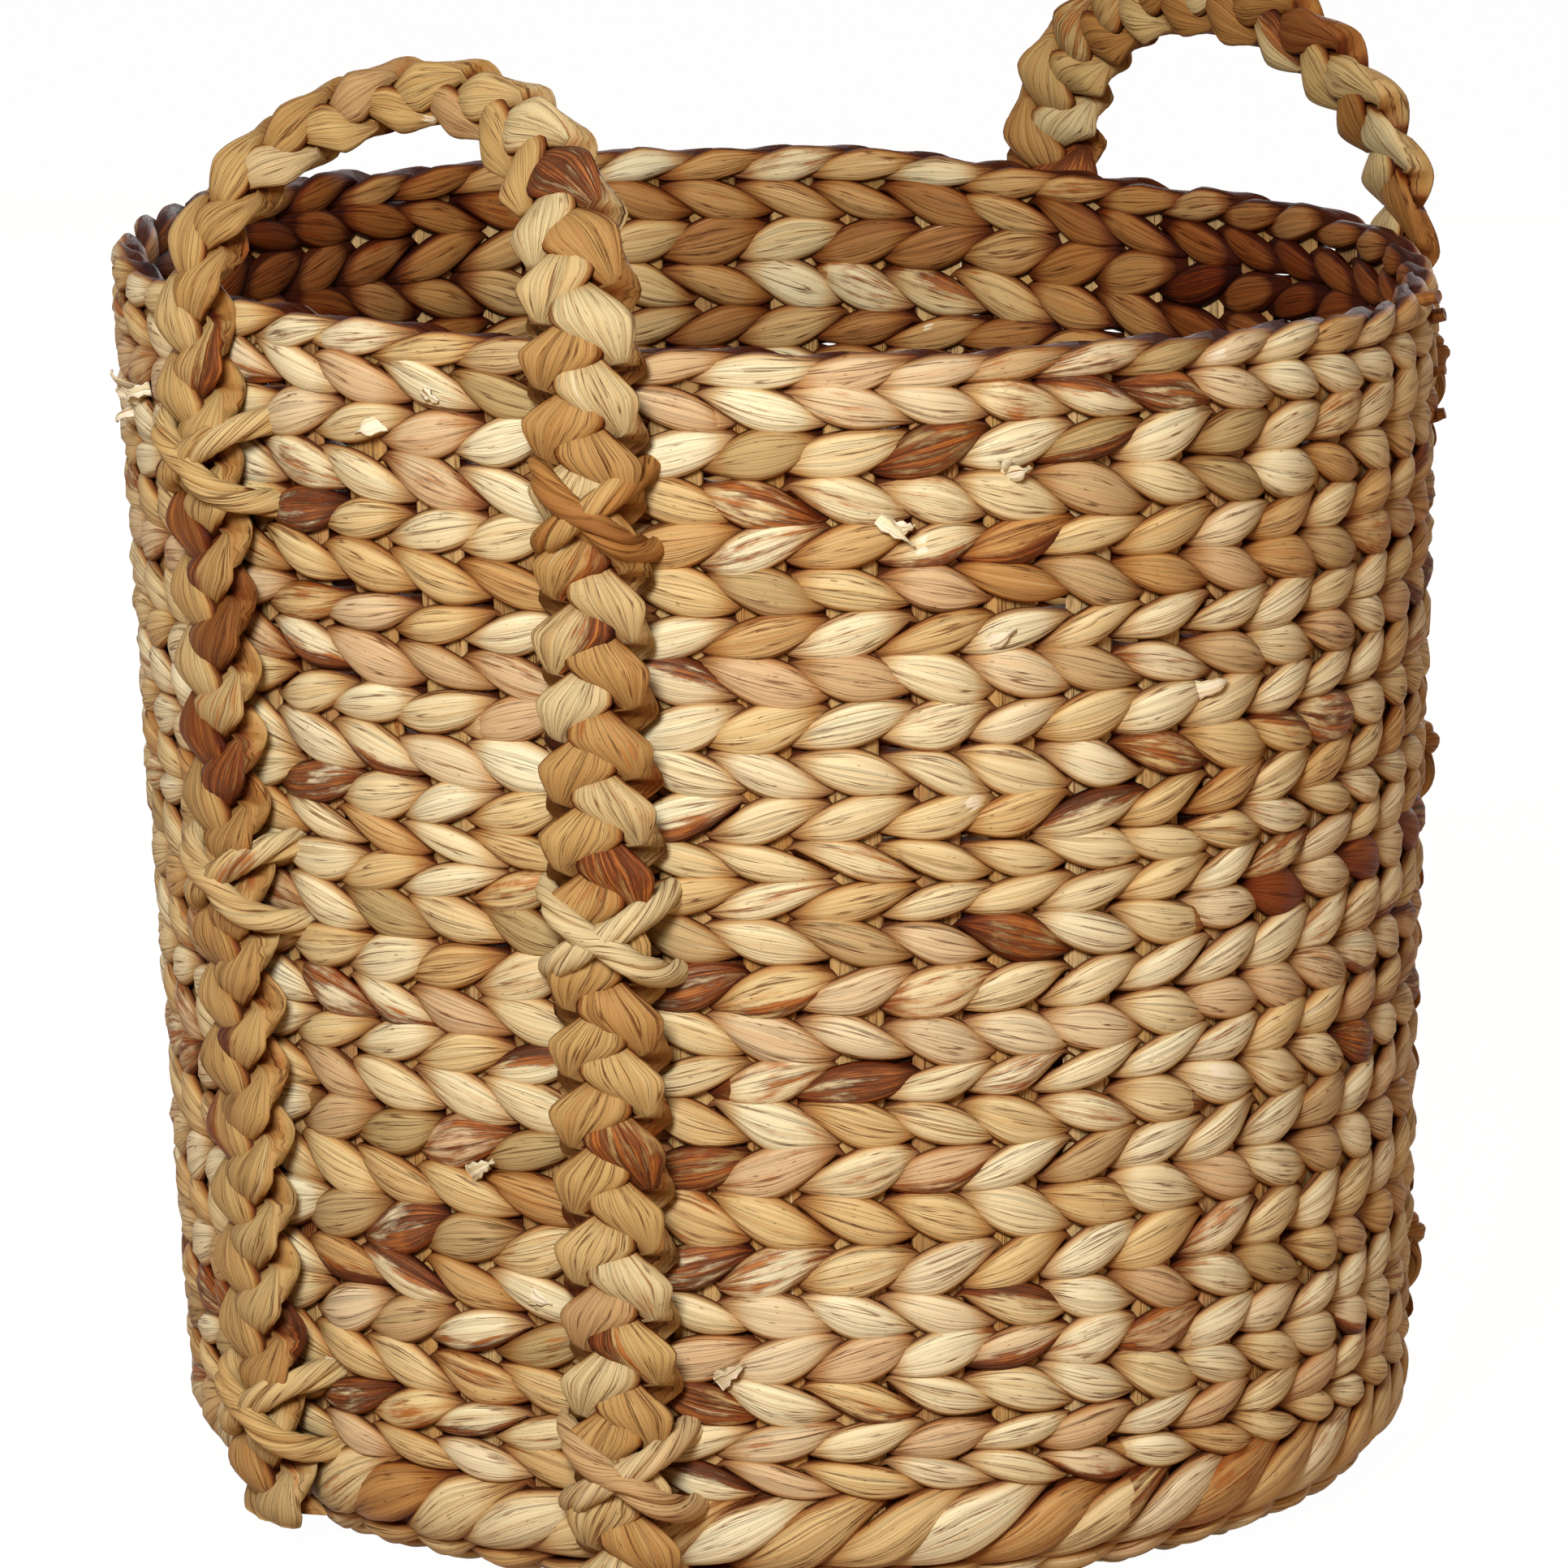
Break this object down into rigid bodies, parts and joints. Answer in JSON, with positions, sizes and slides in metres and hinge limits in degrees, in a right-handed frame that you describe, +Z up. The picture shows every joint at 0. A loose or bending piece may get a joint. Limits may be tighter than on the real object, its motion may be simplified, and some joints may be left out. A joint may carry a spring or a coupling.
{
  "type": "water hyacinth basket",
  "caption": "Round open storage basket twined from flattened plant stems over upright stakes, with braided loop handles lashed to the wall.",
  "frame": {"origin": "middle of the foot, on the basket's axis, in the plane that it stands on", "axes": "+Z up along the basket's axis, -X and +X roughly towards the left and right handles, both of which sit 6.75 degrees towards -Y"},
  "size_m": [0.4624, 0.4296, 0.4717],
  "materials": {
    "twined_stems": "dried flattened stem, satin with fine fibres",
    "stake_stems": "dried flat stem, satin",
    "braid_stems": "dried braided stem, satin with fine fibres",
    "lashing_cord": "dried twisted stem, satin"
  },
  "bodies": {
    "root": {"stakes": "stake_stems", "base_weave": "twined_stems", "foot_course": "twined_stems", "foot_wale": "twined_stems", "course_01": "twined_stems", "course_02": "twined_stems", "course_03": "twined_stems", "course_04": "twined_stems", "course_05": "twined_stems", "course_06": "twined_stems", "course_07": "twined_stems", "course_08": "twined_stems", "course_09": "twined_stems", "course_10": "twined_stems", "course_11": "twined_stems", "course_12": "twined_stems", "course_13": "twined_stems", "course_14": "twined_stems", "course_15": "twined_stems", "course_16": "twined_stems", "course_17": "twined_stems", "course_18": "twined_stems", "course_19": "twined_stems", "course_20": "twined_stems", "course_21": "twined_stems", "course_22": "twined_stems", "course_23": "twined_stems", "course_24": "twined_stems", "course_25": "twined_stems", "rim_rope": "twined_stems", "handle_braid_left": "braid_stems", "handle_braid_right": "braid_stems", "lashing_left_a_low": "lashing_cord", "lashing_left_a_middle": "lashing_cord", "lashing_left_a_high": "lashing_cord", "lashing_left_b_low": "lashing_cord", "lashing_left_b_middle": "lashing_cord", "lashing_left_b_high": "lashing_cord", "lashing_right_a_low": "lashing_cord", "lashing_right_a_middle": "lashing_cord", "lashing_right_a_high": "lashing_cord", "lashing_right_b_low": "lashing_cord", "lashing_right_b_middle": "lashing_cord", "lashing_right_b_high": "lashing_cord"}
  },
  "joints": []
}
